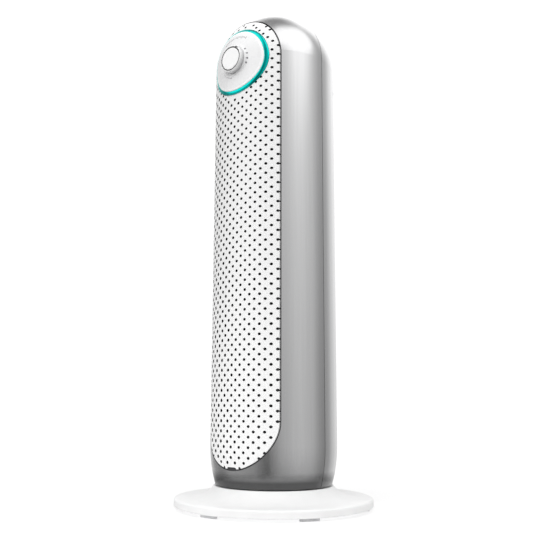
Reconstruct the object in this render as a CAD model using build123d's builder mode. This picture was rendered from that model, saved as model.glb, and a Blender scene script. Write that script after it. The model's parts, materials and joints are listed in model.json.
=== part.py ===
"""Tower air purifier on a round foot: every piece is its own solid, written to parts/.

Frame: millimetres, +Z up, origin at the centre of the foot on the surface it stands on.
The perforated panel and the dial face -Y, the air leaves through the louvres at +Y.
"""
from build123d import *
import os
from math import atan2, cos, hypot, pi, sin, sqrt

os.makedirs("parts", exist_ok=True)

# ---------------------------------------------------------------- driving dimensions
body_radius = 80.0            # outside of the tower
wall = 2.5                    # shell wall
tower_foot_z = 28.5           # lowest edge of the shells
tuck_z = 76.0                 # the shells curve inwards below this height
tuck_radius = 168.0           # radius of that inward curve, in section
dome_z = 572.0                # centre of the domed top
seam_gap = 0.7                # visible joint line between the half shells

bay_low_z = 106.4             # centre of the opening's lower half circle
bay_high_z = 567.6            # centre of the opening's upper half circle
opening_half_width = 57.5
panel_half_width = 55.8
panel_thickness = 1.6
net_thickness = 0.5           # dust net clipped behind the panel
seat_gap = 1.2                # from the panel's inside to the curved seat behind it
hole_step_x = 6.04            # lattice of the perforation, seen from the front
hole_step_z = 12.08
hole_row_z = 499.5            # height of one hole in the middle column
hole_radius = 1.7
notch_width = 15.0            # finger notch at the panel's foot
notch_height = 2.6

dial_z = 564.7                # axis of the control dial
dial_gap_radius = 45.75       # round cut-out in the panel
ring_outer = 45.4
ring_inner = 42.3
ring_rise = 2.7               # how far the ring's crest stands proud of the tower
knob_base_radius = 18.0
knob_face_radius = 16.4
knob_front_y = -89.8
knob_back_y = -83.4
pointer_angle = 51.0          # from the viewer's right, as the knob stands at rest

foot_radius = 124.0           # round foot
foot_underside_z = 3.5
foot_top_z = 13.0
hub_radius = 74.8             # where the foot's flare meets the tower
hub_top_z = 27.3
flare_end_radius = 104.0

shaft_radius = 4.0            # fan shaft
bore_clearance = 0.05
fan_y = 18.0                  # axis of the tangential fan
wheel_radius = 34.0
wheel_low_z = 129.0
wheel_high_z = 431.0
duct_low_z = 124.0
duct_high_z = 434.0
plate = 2.5                   # thickness of the moulded inner plates
inner_plate_radius = 76.2     # plates that span the tower's inside

filter_half_width = 50.0
filter_front_y = -57.0
filter_back_y = -28.9
gasket_thickness = 2.0
gasket_gap = 0.4             # between the gasket and the bay's back wall
filter_low_z = 108.6
filter_high_z = 504.4
bay_clearance = 0.5

FRONT = Plane.XZ              # normal towards -Y: sketch x is X, sketch y is Z
knob_axis = Axis((0, 0, dial_z), (0, 1, 0))
knob_section = Plane(origin=(0, 0, dial_z), x_dir=(1, 0, 0), z_dir=(0, 0, 1))


# ---------------------------------------------------------------- helpers
def save(piece, name):
    """Label a finished piece and write it to its own STEP file."""
    piece.part.label = name
    export_step(piece.part, f"parts/{name}.step")


def outline_radius(inset, z):
    """Radius of the tower's outline, moved inwards by inset, at a height below the dome."""
    if z >= tuck_z:
        return body_radius - inset
    centre_r = body_radius - tuck_radius
    return centre_r + sqrt((tuck_radius - inset) ** 2 - (tuck_z - z) ** 2)


def outline_curves(inset, low_z):
    """Draw the tower's outline moved inwards by inset; returns its foot and its crest."""
    radius = body_radius - inset
    middle_z = (low_z + tuck_z) / 2
    foot = (outline_radius(inset, low_z), low_z)
    belly = (outline_radius(inset, middle_z), middle_z)
    shoulder = (radius * cos(pi / 4), dome_z + radius * sin(pi / 4))
    crest = (0, dome_z + radius)
    ThreePointArc(foot, belly, (radius, tuck_z))
    Line((radius, tuck_z), (radius, dome_z))
    ThreePointArc((radius, dome_z), shoulder, crest)
    return foot, crest


def tower_wall(outer, inner, low_z=tower_foot_z):
    """Half section of a wall between two insets of the tower's outline, closed on the axis side."""
    with BuildSketch(Plane.XZ) as section:
        with BuildLine():
            outer_foot, outer_crest = outline_curves(outer, low_z)
            inner_foot, inner_crest = outline_curves(inner, low_z)
            Line(outer_foot, inner_foot)
            Line(outer_crest, inner_crest)
        make_face()
    return section.sketch


def tower_core(inset, low_z=tower_foot_z):
    """Half section of everything inside the tower's outline moved inwards by inset."""
    with BuildSketch(Plane.XZ) as section:
        with BuildLine():
            foot, crest = outline_curves(inset, low_z)
            Polyline(crest, (0, low_z), foot)
        make_face()
    return section.sketch


def stadium(half_width):
    """Outline of the front opening: two half circles joined by straight sides."""
    with BuildSketch(FRONT) as outline:
        with Locations((0, (bay_low_z + bay_high_z) / 2)):
            SlotCenterToCenter(bay_high_z - bay_low_z, 2 * half_width, rotation=90)
    return outline.sketch


def edge_distance(x, z):
    """Distance of a point of the panel from the panel's outline, positive inside."""
    nearest_z = min(max(z, bay_low_z), bay_high_z)
    return panel_half_width - hypot(x, z - nearest_z)


def hole_centres():
    """Centres of the panel's holes: a diamond lattice, cut off by the outline and the dial."""
    centres = []
    tangent_margin = 0.15     # a hole that only just touches an edge is left out
    for column in range(-9, 10):
        x = column * hole_step_x
        start = hole_row_z + (hole_step_z / 2 if column % 2 else 0)
        for row in range(-40, 12):
            z = start + row * hole_step_z
            rim = edge_distance(x, z)
            dial = hypot(x, z - dial_z) - dial_gap_radius
            whole = min(rim, dial) > 0.3
            tangent = any(abs(d - hole_radius) < tangent_margin for d in (rim, dial))
            in_notch = abs(x) < notch_width / 2 and z < bay_low_z - panel_half_width + notch_height
            if whole and not tangent and not in_notch:
                centres.append((x, z))
    return centres


# ---------------------------------------------------------------- half shells
screw_posts = [(side * 66.0, z) for side in (-1, 1) for z in (96.0, 540.0)]
post_radius = 4.0
post_end_y = 24.0
post_length = 70.0

with BuildPart() as front_shell:
    add(tower_wall(0, wall))
    revolve(axis=Axis.Z, revolution_arc=360)
    split(bisect_by=Plane.XZ.offset(seam_gap / 2), keep=Keep.TOP)
    with BuildSketch(FRONT) as opening:
        add(stadium(opening_half_width))
    extrude(amount=body_radius + 20, mode=Mode.SUBTRACT)
    # posts that take the screws of the rear shell
    with BuildSketch(Plane.XZ.offset(-post_end_y)) as posts:
        with Locations(*screw_posts):
            Circle(post_radius)
    extrude(amount=post_length)
    with BuildSketch(Plane.XZ.offset(-post_end_y)) as bores:
        with Locations(*screw_posts):
            Circle(1.6)
    extrude(amount=14, mode=Mode.SUBTRACT)
    add(tower_core(0))
    revolve(axis=Axis.Z, revolution_arc=360, mode=Mode.INTERSECT)
save(front_shell, "front_shell")

outlet_half_width = 40.0
outlet_low_z = 132.0
outlet_high_z = 428.0
outlet_corner = 12.0
socket_z = 66.0
socket_width = 27.0
socket_height = 20.0
screw_head_radius = 3.4
screw_well_radius = 3.8

with BuildPart() as rear_shell:
    add(tower_wall(0, wall))
    revolve(axis=Axis.Z, revolution_arc=360)
    split(bisect_by=Plane.XZ.offset(-seam_gap / 2), keep=Keep.BOTTOM)
    # window for the outlet louvres
    with BuildSketch(Plane.XZ) as window:
        with Locations((0, (outlet_low_z + outlet_high_z) / 2)):
            RectangleRounded(2 * outlet_half_width, outlet_high_z - outlet_low_z, outlet_corner)
    extrude(amount=-body_radius - 20, mode=Mode.SUBTRACT)
    # window for the mains inlet
    with BuildSketch(Plane.XZ) as inlet_window:
        with Locations((0, socket_z)):
            RectangleRounded(socket_width, socket_height, 3)
    extrude(amount=-body_radius - 20, mode=Mode.SUBTRACT)
    # screw wells: a tube from the post's end out to the shell
    with BuildSketch(Plane.XZ.offset(-post_end_y - 0.2)) as wells:
        with Locations(*screw_posts):
            Circle(screw_well_radius + 1.4)
    extrude(amount=-body_radius)
    with BuildSketch(Plane.XZ.offset(-post_end_y - 2.4)) as well_bores:
        with Locations(*screw_posts):
            Circle(screw_well_radius)
    extrude(amount=-60, mode=Mode.SUBTRACT)
    with BuildSketch(Plane.XZ.offset(-post_end_y)) as well_holes:
        with Locations(*screw_posts):
            Circle(1.9)
    extrude(amount=-60, mode=Mode.SUBTRACT)
    # everything that stands out of the round outline is trimmed off
    add(tower_core(0))
    revolve(axis=Axis.Z, revolution_arc=360, mode=Mode.INTERSECT)
save(rear_shell, "rear_shell")

with BuildPart() as seam_strip:
    # thin strip inside the seam, so that the joint line is closed to light
    add(tower_wall(wall + 0.05, wall + 1.2, low_z=36.0))
    revolve(axis=Axis.Z, revolution_arc=360)
    split(bisect_by=Plane.XZ.offset(2.5), keep=Keep.BOTTOM)
    split(bisect_by=Plane.XZ.offset(-2.5), keep=Keep.TOP)
save(seam_strip, "seam_strip")

with BuildPart() as shell_screws:
    for post_x, post_z in screw_posts:
        screw_plane = Plane(origin=(post_x, post_end_y, post_z), x_dir=(1, 0, 0), z_dir=(0, 1, 0))
        with BuildSketch(screw_plane.offset(2.5)):
            Circle(screw_head_radius)
        extrude(amount=2.2)
        with BuildSketch(screw_plane.offset(4.0)):
            Rectangle(4.6, 0.9)
            Rectangle(0.9, 4.6)
        extrude(amount=2, mode=Mode.SUBTRACT)
        with BuildSketch(screw_plane.offset(-10)):
            Circle(1.55)
        extrude(amount=12.6)
save(shell_screws, "shell_screws")

with BuildPart() as outlet_grille:
    add(tower_wall(0.3, wall))
    revolve(axis=Axis.Z, revolution_arc=360)
    with BuildSketch(Plane.XZ) as frame_outline:
        with Locations((0, (outlet_low_z + outlet_high_z) / 2)):
            RectangleRounded(
                2 * outlet_half_width - 0.6, outlet_high_z - outlet_low_z - 0.6, outlet_corner - 0.3
            )
    extrude(amount=-body_radius - 20, mode=Mode.INTERSECT)
    louvre_pitch = 8.0
    louvre_rows = 34
    with BuildSketch(Plane.XZ) as slots:
        with Locations((0, (outlet_low_z + outlet_high_z) / 2)):
            with GridLocations(24.5, louvre_pitch, 3, louvre_rows):
                SlotOverall(21.5, 4.0)
    extrude(amount=-body_radius - 20, mode=Mode.SUBTRACT)
save(outlet_grille, "outlet_grille")

# ---------------------------------------------------------------- perforated front panel
with BuildPart() as front_grille:
    add(tower_wall(0, panel_thickness))
    revolve(axis=Axis.Z, revolution_arc=360)
    with BuildSketch(FRONT) as panel_outline:
        add(stadium(panel_half_width))
        with Locations((0, dial_z)):
            Circle(dial_gap_radius, mode=Mode.SUBTRACT)
        with Locations(*hole_centres()):
            Circle(hole_radius, mode=Mode.SUBTRACT)
        with Locations((0, bay_low_z - panel_half_width)):
            SlotOverall(notch_width, 2 * notch_height, mode=Mode.SUBTRACT)
    extrude(amount=body_radius + 20, mode=Mode.INTERSECT)
save(front_grille, "front_grille")

with BuildPart() as dust_net:
    # fine black net behind the holes, only where the air goes through
    add(tower_wall(panel_thickness, panel_thickness + net_thickness))
    revolve(axis=Axis.Z, revolution_arc=360)
    with BuildSketch(FRONT) as net_outline:
        with Locations((0, (filter_low_z + filter_high_z) / 2)):
            RectangleRounded(2 * filter_half_width - 1, filter_high_z - filter_low_z - 1, 4)
    extrude(amount=body_radius + 20, mode=Mode.INTERSECT)
save(dust_net, "dust_net")

# ---------------------------------------------------------------- filter bay and its filter
bay_inset = panel_thickness + seat_gap
bay_half_width = filter_half_width + bay_clearance
bay_low = filter_low_z - bay_clearance
bay_high = filter_high_z + bay_clearance
bay_middle_z = (bay_low + bay_high) / 2
bay_back_y = filter_back_y + gasket_thickness + gasket_gap + plate
dial_seat_radius = 47.0

with BuildPart() as filter_bay:
    # tunnel that the filter slides into
    with BuildSketch(FRONT.offset(-bay_back_y)) as tunnel:
        with Locations((0, bay_middle_z)):
            Rectangle(2 * (bay_half_width + plate), bay_high - bay_low + 2 * plate)
            Rectangle(2 * bay_half_width, bay_high - bay_low, mode=Mode.SUBTRACT)
    extrude(amount=body_radius)
    # back wall with the window to the fan
    with BuildSketch(FRONT.offset(-bay_back_y)) as back_wall:
        with Locations((0, bay_middle_z)):
            Rectangle(2 * bay_half_width + plate, bay_high - bay_low + plate)
            Rectangle(2 * bay_half_width - 22, bay_high - bay_low - 90, mode=Mode.SUBTRACT)
    extrude(amount=plate)
    # the tunnel ends against the curved seat
    add(tower_core(bay_inset + 0.4))
    revolve(axis=Axis.Z, revolution_arc=360, mode=Mode.INTERSECT)
    # curved seat behind the panel
    with BuildPart(mode=Mode.PRIVATE) as seat:
        add(tower_wall(bay_inset, bay_inset + 2))
        revolve(axis=Axis.Z, revolution_arc=360)
        with BuildSketch(FRONT) as seat_outline:
            add(stadium(opening_half_width + 3.2))
            with Locations((0, bay_middle_z)):
                Rectangle(2 * bay_half_width, bay_high - bay_low, mode=Mode.SUBTRACT)
            with Locations((0, dial_z)):
                Circle(dial_seat_radius, mode=Mode.SUBTRACT)
        extrude(amount=body_radius + 20, mode=Mode.INTERSECT)
    add(seat.part)
save(filter_bay, "filter_bay")

filter_centre_z = (filter_low_z + filter_high_z) / 2
filter_height = filter_high_z - filter_low_z
frame_rail = 6.0
media_front_y = filter_front_y + 4.5

with BuildPart() as filter_frame:
    with BuildSketch(FRONT.offset(-filter_back_y)) as filter_outline:
        with Locations((0, filter_centre_z)):
            RectangleRounded(2 * filter_half_width, filter_height, 2)
            Rectangle(2 * (filter_half_width - frame_rail), filter_height - 2 * frame_rail,
                      mode=Mode.SUBTRACT)
    extrude(amount=filter_back_y - filter_front_y)
save(filter_frame, "filter_frame")

pleat_count = 22
pleat_thickness = 0.5
media_half_width = filter_half_width - frame_rail - 0.1
half_pitch = (media_half_width - 0.5) / pleat_count
fold_front_y = media_front_y + 0.5
fold_depth = 15.0
fold_shift = pleat_thickness * fold_depth / half_pitch

with BuildPart() as hepa_media:
    with BuildSketch(Plane.XY.offset(filter_low_z + frame_rail + 0.1)) as pleats:
        with BuildLine():
            front_folds = []
            for fold in range(2 * pleat_count + 1):
                fold_x = (fold - pleat_count) * half_pitch
                front_folds.append((fold_x, fold_front_y + (0 if fold % 2 else fold_depth)))
            back_folds = [(x, y + fold_shift) for x, y in reversed(front_folds)]
            Polyline(*front_folds, *back_folds, close=True)
        make_face()
    extrude(amount=filter_height - 2 * frame_rail - 0.2)
save(hepa_media, "hepa_media")

with BuildPart() as carbon_prefilter:
    with BuildSketch(FRONT.offset(-filter_front_y - 3.4)) as prefilter_outline:
        with Locations((0, filter_centre_z)):
            Rectangle(2 * media_half_width, filter_height - 2 * frame_rail - 0.2)
    extrude(amount=2.6)
save(carbon_prefilter, "carbon_prefilter")

with BuildPart() as filter_gasket:
    with BuildSketch(FRONT.offset(-filter_back_y)) as gasket_outline:
        with Locations((0, filter_centre_z)):
            Rectangle(2 * filter_half_width - 2, filter_height - 2)
            Rectangle(2 * filter_half_width - 8, filter_height - 8, mode=Mode.SUBTRACT)
    extrude(amount=-gasket_thickness)
save(filter_gasket, "filter_gasket")

with BuildPart() as filter_pull_tab:
    with BuildSketch(FRONT.offset(-filter_front_y)) as tab_outline:
        with Locations((0, filter_low_z + 15)):
            RectangleRounded(18, 26, 4)
    extrude(amount=0.8)
save(filter_pull_tab, "filter_pull_tab")

# ---------------------------------------------------------------- control dial
housing_back_y = -48.0
board_y = -60.0
board_thickness = 1.6
board_screw_ring = 31.0       # the board's three screws stand on this radius
bushing_radius = 4.5
knob_shaft_radius = 3.0

with BuildPart() as dial_housing:
    # round cup behind the panel that carries the dial
    with BuildSketch(FRONT.offset(-housing_back_y)) as cup:
        with Locations((0, dial_z)):
            Circle(ring_outer)
    extrude(amount=body_radius)
    add(tower_core(panel_thickness + 1.0))
    revolve(axis=Axis.Z, revolution_arc=360, mode=Mode.INTERSECT)
    with BuildSketch(FRONT.offset(-housing_back_y + plate)) as cup_inside:
        with Locations((0, dial_z)):
            Circle(ring_inner - 1.5)
    extrude(amount=body_radius, mode=Mode.SUBTRACT)
    with BuildSketch(FRONT.offset(-housing_back_y)) as cable_hole:
        with Locations((0, dial_z - 24)):
            SlotOverall(22, 8)
    extrude(amount=plate, mode=Mode.SUBTRACT)
    # three posts that hold the circuit board
    with BuildSketch(FRONT.offset(-housing_back_y)) as board_posts:
        with Locations((0, dial_z)):
            with PolarLocations(board_screw_ring, 3, start_angle=90):
                Circle(3)
    extrude(amount=-board_y + housing_back_y)
save(dial_housing, "dial_housing")


def on_outer_crest(edge):
    """True for the outer one of the ring's two front edges."""
    point = edge @ 0.4
    from_axis = hypot(point.X, point.Y, max(point.Z - dome_z, 0))
    return hypot(point.X, point.Z - dial_z) > ring_outer - 0.5 and from_axis > body_radius + 1


with BuildPart() as dial_ring:
    add(tower_core(-ring_rise))
    revolve(axis=Axis.Z, revolution_arc=360)
    with BuildSketch(FRONT) as ring_outline:
        with Locations((0, dial_z)):
            Circle(ring_outer)
            Circle(ring_inner, mode=Mode.SUBTRACT)
    extrude(amount=body_radius + 20, mode=Mode.INTERSECT)
    add(tower_core(panel_thickness + 0.9))
    revolve(axis=Axis.Z, revolution_arc=360, mode=Mode.SUBTRACT)
    fillet(dial_ring.edges().filter_by(on_outer_crest), 2.2)
save(dial_ring, "dial_ring")

face_rise = ring_rise - 0.3
face_radius = ring_inner - 0.1
seat_radius = knob_base_radius + 0.9
seat_y = knob_back_y + 0.4

with BuildPart() as dial_face:
    add(tower_core(-face_rise))
    revolve(axis=Axis.Z, revolution_arc=360)
    with BuildSketch(FRONT) as face_outline:
        with Locations((0, dial_z)):
            Circle(face_radius)
    extrude(amount=body_radius + 20, mode=Mode.INTERSECT)
    add(tower_core(panel_thickness + 0.9))
    revolve(axis=Axis.Z, revolution_arc=360, mode=Mode.SUBTRACT)
    with BuildPart(mode=Mode.PRIVATE) as face_hollow:
        add(tower_core(0))
        revolve(axis=Axis.Z, revolution_arc=360)
        with BuildSketch(FRONT) as hollow_outline:
            with Locations((0, dial_z)):
                Circle(face_radius - 4)
        extrude(amount=body_radius + 20, mode=Mode.INTERSECT)
    add(face_hollow.part, mode=Mode.SUBTRACT)
    # flat round seat that the knob turns on
    with BuildSketch(FRONT.offset(-seat_y)) as knob_seat:
        with Locations((0, dial_z)):
            Circle(seat_radius)
    extrude(amount=-6.0)
    with BuildSketch(FRONT) as bushing_hole:
        with Locations((0, dial_z)):
            Circle(bushing_radius)
    extrude(amount=body_radius + 20, mode=Mode.SUBTRACT)
save(dial_face, "dial_face")

switch_depth = 9.0
switch_front_y = board_y - board_thickness - switch_depth

with BuildPart() as rotary_switch:
    with BuildSketch(FRONT.offset(-board_y + board_thickness)) as switch_can:
        with Locations((0, dial_z)):
            RectangleRounded(17, 19, 2)
    extrude(amount=switch_depth)
    with BuildSketch(FRONT.offset(-switch_front_y)) as bushing:
        with Locations((0, dial_z)):
            Circle(bushing_radius - 0.05)
    extrude(amount=switch_front_y - seat_y)
    with BuildSketch(FRONT.offset(-board_y + 2.8)) as shaft_bore:
        with Locations((0, dial_z)):
            Circle(knob_shaft_radius + bore_clearance)
    extrude(amount=60, mode=Mode.SUBTRACT)
save(rotary_switch, "rotary_switch")

with BuildPart() as switch_nut:
    with BuildSketch(FRONT.offset(-seat_y - 8.4)) as nut_outline:
        with Locations((0, dial_z)):
            RegularPolygon(6.5, 6, major_radius=False)
            Circle(bushing_radius, mode=Mode.SUBTRACT)
    extrude(amount=2.2)
save(switch_nut, "switch_nut")

with BuildPart() as control_board:
    with BuildSketch(FRONT.offset(-board_y)) as board_outline:
        with Locations((0, dial_z)):
            Circle(37.5)
            with PolarLocations(board_screw_ring, 3, start_angle=90):
                Circle(1.6, mode=Mode.SUBTRACT)
    extrude(amount=board_thickness)
    with BuildSketch(FRONT.offset(-board_y + board_thickness)) as board_parts:
        with Locations((-19, dial_z - 12), (17, dial_z + 14)):
            Rectangle(9, 12)
        with Locations((18, dial_z - 16)):
            Circle(4)
    extrude(amount=5)
save(control_board, "control_board")

with BuildPart() as board_screws:
    with BuildSketch(FRONT.offset(-board_y + board_thickness)) as screw_heads:
        with Locations((0, dial_z)):
            with PolarLocations(board_screw_ring, 3, start_angle=90):
                Circle(2.8)
    extrude(amount=1.8)
    with BuildSketch(FRONT.offset(-board_y)) as screw_shanks:
        with Locations((0, dial_z)):
            with PolarLocations(board_screw_ring, 3, start_angle=90):
                Circle(1.5)
    extrude(amount=1.6)
save(board_screws, "board_screws")

groove_inner = 14.6
groove_outer = 15.6
groove_floor_y = knob_front_y + 1.6
trim_depth = 0.9
knob_bore_radius = knob_shaft_radius

with BuildPart() as control_knob:
    with BuildSketch(knob_section) as knob_profile:
        with BuildLine():
            Polyline(
                (knob_bore_radius, knob_back_y), (6.0, knob_back_y), (6.0, knob_back_y - 3.4),
                (knob_base_radius - 2.4, knob_back_y - 3.4), (knob_base_radius - 2.0, knob_back_y),
                (knob_base_radius, knob_back_y), (knob_face_radius + 0.5, knob_front_y + 0.9),
            )
            ThreePointArc(
                (knob_face_radius + 0.5, knob_front_y + 0.9),
                (knob_face_radius + 0.25, knob_front_y + 0.25),
                (knob_face_radius - 0.3, knob_front_y),
            )
            Polyline(
                (knob_face_radius - 0.3, knob_front_y), (groove_outer, knob_front_y),
                (groove_outer, groove_floor_y), (knob_bore_radius, groove_floor_y),
                (knob_bore_radius, knob_back_y),
            )
        make_face()
    revolve(axis=knob_axis, revolution_arc=360)
    # slot for the pointer across the rim
    pointer_plane = Plane(origin=(0, knob_front_y, dial_z), x_dir=(1, 0, 0), z_dir=(0, -1, 0))
    with BuildSketch(pointer_plane.offset(-0.8)) as pointer_slot:
        with PolarLocations(groove_outer + 0.55, 1, start_angle=pointer_angle):
            Rectangle(1.4, 1.9)
    extrude(amount=2, mode=Mode.SUBTRACT)
save(control_knob, "control_knob")

with BuildPart() as knob_cap:
    with BuildSketch(knob_section) as cap_profile:
        with BuildLine():
            Polyline(
                (0, groove_floor_y), (groove_inner, groove_floor_y),
                (groove_inner, knob_front_y + 0.5), (groove_inner - 0.5, knob_front_y),
                (0, knob_front_y), close=True,
            )
        make_face()
    revolve(axis=knob_axis, revolution_arc=360)
save(knob_cap, "knob_cap")

with BuildPart() as knob_trim_ring:
    with BuildSketch(pointer_plane.offset(knob_front_y - groove_floor_y)) as trim_outline:
        Circle(groove_outer)
        Circle(groove_inner, mode=Mode.SUBTRACT)
    extrude(amount=trim_depth)
save(knob_trim_ring, "knob_trim_ring")

with BuildPart() as knob_pointer:
    with BuildSketch(pointer_plane.offset(-0.8)) as pointer_outline:
        with PolarLocations(groove_outer + 0.55, 1, start_angle=pointer_angle):
            Rectangle(1.1, 1.9)
    extrude(amount=0.75)
save(knob_pointer, "knob_pointer")

with BuildPart() as knob_shaft:
    with BuildSketch(FRONT.offset(-board_y + 3.2)) as shaft_round:
        with Locations((0, dial_z)):
            Circle(knob_shaft_radius - 0.01)
    extrude(amount=-groove_floor_y + board_y - 3.2)
save(knob_shaft, "knob_shaft")

# ---------------------------------------------------------------- fan, duct and motor
disc_thickness = 2.5
blade_count = 28
blade_inner = 26.0
blade_lean = 26.0             # degrees
coupling_radius = 12.0
coupling_height = 9.0

with BuildPart() as fan_wheel:
    with BuildSketch(Plane.XY.offset(wheel_low_z)) as blades:
        with Locations((0, fan_y)):
            with PolarLocations((blade_inner + wheel_radius) / 2, blade_count):
                with Locations(Location((0, 0, 0), (0, 0, blade_lean))):
                    SlotOverall(wheel_radius - blade_inner, 1.3)
    extrude(amount=wheel_high_z - wheel_low_z)
    disc_heights = [wheel_low_z, (wheel_low_z + wheel_high_z) / 2, wheel_high_z - disc_thickness]
    for disc_z in disc_heights:
        with BuildSketch(Plane.XY.offset(disc_z)) as disc:
            with Locations((0, fan_y)):
                Circle(wheel_radius)
                if disc_z == disc_heights[1]:
                    Circle(blade_inner - 4, mode=Mode.SUBTRACT)
        extrude(amount=disc_thickness)
    with BuildSketch(Plane.XY.offset(wheel_low_z)) as coupling_hole:
        with Locations((0, fan_y)):
            Circle(coupling_radius)
    extrude(amount=disc_thickness, mode=Mode.SUBTRACT)
    with BuildSketch(Plane.XY.offset(wheel_high_z - disc_thickness)) as stub_hole:
        with Locations((0, fan_y)):
            Circle(shaft_radius)
    extrude(amount=disc_thickness, mode=Mode.SUBTRACT)
save(fan_wheel, "fan_wheel")

motor_low_z = 62.0
motor_high_z = 106.0
motor_radius = 29.0
motor_screw_ring = 22.0
bracket_z = 110.0

with BuildPart() as drive_coupling:
    with BuildSketch(Plane.XY.offset(wheel_low_z)) as coupling_outline:
        with Locations((0, fan_y)):
            Circle(coupling_radius)
            Circle(shaft_radius, mode=Mode.SUBTRACT)
    extrude(amount=coupling_height)
    with BuildSketch(Plane.XY.offset(wheel_low_z + disc_thickness)) as coupling_flange:
        with Locations((0, fan_y)):
            Circle(coupling_radius + 3)
            Circle(coupling_radius, mode=Mode.SUBTRACT)
    extrude(amount=2)
save(drive_coupling, "drive_coupling")

with BuildPart() as motor_shaft:
    with BuildSketch(Plane.XY.offset(motor_low_z + 4)) as lower_shaft:
        with Locations((0, fan_y)):
            Circle(shaft_radius)
    extrude(amount=wheel_low_z + coupling_height - motor_low_z - 4)
save(motor_shaft, "motor_shaft")

with BuildPart() as wheel_stub:
    with BuildSketch(Plane.XY.offset(wheel_high_z - disc_thickness)) as upper_shaft:
        with Locations((0, fan_y)):
            Circle(shaft_radius)
    extrude(amount=14)
    with BuildSketch(Plane.XY.offset(wheel_high_z - 2 * disc_thickness)) as stub_flange:
        with Locations((0, fan_y)):
            Circle(8)
    extrude(amount=disc_thickness)
save(wheel_stub, "wheel_stub")

with BuildPart() as motor_can:
    with BuildSketch(Plane.XY.offset(motor_low_z)) as can_outline:
        with Locations((0, fan_y)):
            Circle(motor_radius)
    extrude(amount=motor_high_z - motor_low_z)
    fillet(motor_can.edges().filter_by(GeomType.CIRCLE), 3)
    with BuildSketch(Plane.XY.offset(motor_high_z)) as nose:
        with Locations((0, fan_y)):
            Circle(9)
    extrude(amount=4)
    with BuildSketch(Plane.XY.offset(motor_low_z + 3.7)) as motor_bore:
        with Locations((0, fan_y)):
            Circle(shaft_radius + bore_clearance)
    extrude(amount=60, mode=Mode.SUBTRACT)
save(motor_can, "motor_can")

with BuildPart() as motor_bracket:
    with BuildSketch(Plane.XY.offset(bracket_z)) as bracket_outline:
        Circle(inner_plate_radius)
        with Locations((0, -body_radius + bay_back_y + 0.05)):
            Rectangle(2 * body_radius, 2 * body_radius, mode=Mode.SUBTRACT)
        with Locations((0, fan_y)):
            Circle(9.4, mode=Mode.SUBTRACT)
            with PolarLocations(motor_screw_ring, 3, start_angle=30):
                Circle(4, mode=Mode.SUBTRACT)
        with Locations((-50, 30), (50, 30)):
            SlotOverall(26, 9, rotation=90, mode=Mode.SUBTRACT)
    extrude(amount=plate)
save(motor_bracket, "motor_bracket")

with BuildPart() as motor_grommets:
    with BuildSketch(Plane.XY.offset(motor_high_z)) as grommets:
        with Locations((0, fan_y)):
            with PolarLocations(motor_screw_ring, 3, start_angle=30):
                Circle(4)
                Circle(1.9, mode=Mode.SUBTRACT)
    extrude(amount=bracket_z + plate - motor_high_z)
    with BuildSketch(Plane.XY.offset(bracket_z + plate)) as grommet_flanges:
        with Locations((0, fan_y)):
            with PolarLocations(motor_screw_ring, 3, start_angle=30):
                Circle(5.5)
                Circle(1.9, mode=Mode.SUBTRACT)
    extrude(amount=1.5)
save(motor_grommets, "motor_grommets")

with BuildPart() as motor_screws:
    with BuildSketch(Plane.XY.offset(motor_high_z)) as motor_shanks:
        with Locations((0, fan_y)):
            with PolarLocations(motor_screw_ring, 3, start_angle=30):
                Circle(1.8)
    extrude(amount=bracket_z + plate + 1.5 - motor_high_z)
    with BuildSketch(Plane.XY.offset(bracket_z + plate + 1.5)) as motor_heads:
        with Locations((0, fan_y)):
            with PolarLocations(motor_screw_ring, 3, start_angle=30):
                Circle(3.6)
    extrude(amount=2)
save(motor_screws, "motor_screws")


def duct_plate(height, axis_hole_radius):
    """D-shaped plate behind the filter bay, with a round hole on the fan's axis."""
    with BuildPart() as d_plate:
        with BuildSketch(Plane.XY.offset(height)):
            Circle(inner_plate_radius)
            with Locations((0, bay_back_y + 0.05 - body_radius)):
                Rectangle(2 * body_radius, 2 * body_radius, mode=Mode.SUBTRACT)
            with Locations((0, fan_y)):
                Circle(axis_hole_radius, mode=Mode.SUBTRACT)
        extrude(amount=plate)
    return d_plate


bush_radius = 7.5
bush_height = 9.0
duct_floor = duct_plate(duct_low_z - plate, coupling_radius + 4)
save(duct_floor, "duct_floor")
duct_ceiling = duct_plate(duct_high_z, bush_radius + 2.5)
save(duct_ceiling, "duct_ceiling")

with BuildPart() as bearing_holder:
    with BuildSketch(Plane.XY.offset(duct_high_z)) as holder_sleeve:
        with Locations((0, fan_y)):
            Circle(bush_radius + 2.5)
            Circle(bush_radius, mode=Mode.SUBTRACT)
    extrude(amount=bush_height)
    with BuildSketch(Plane.XY.offset(duct_high_z + plate)) as holder_flange:
        with Locations((0, fan_y)):
            Circle(19)
            Circle(bush_radius + 2.5, mode=Mode.SUBTRACT)
    extrude(amount=2)
save(bearing_holder, "bearing_holder")

with BuildPart() as top_bearing:
    with BuildSketch(Plane.XY.offset(duct_high_z)) as bush_outline:
        with Locations((0, fan_y)):
            Circle(bush_radius)
            Circle(shaft_radius + bore_clearance, mode=Mode.SUBTRACT)
    extrude(amount=bush_height)
save(top_bearing, "top_bearing")

wall_end_y = 66.0

with BuildPart() as scroll_wall:
    with BuildSketch(Plane.XY.offset(duct_low_z)) as scroll_section:
        with BuildLine() as scroll_line:
            ThreePointArc((-47, bay_back_y + 2), (-41, fan_y), (-37, 46))
            Line((-37, 46), (-37, wall_end_y))
        trace(line_width=plate)
    extrude(amount=duct_high_z - duct_low_z)
save(scroll_wall, "scroll_wall")

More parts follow.
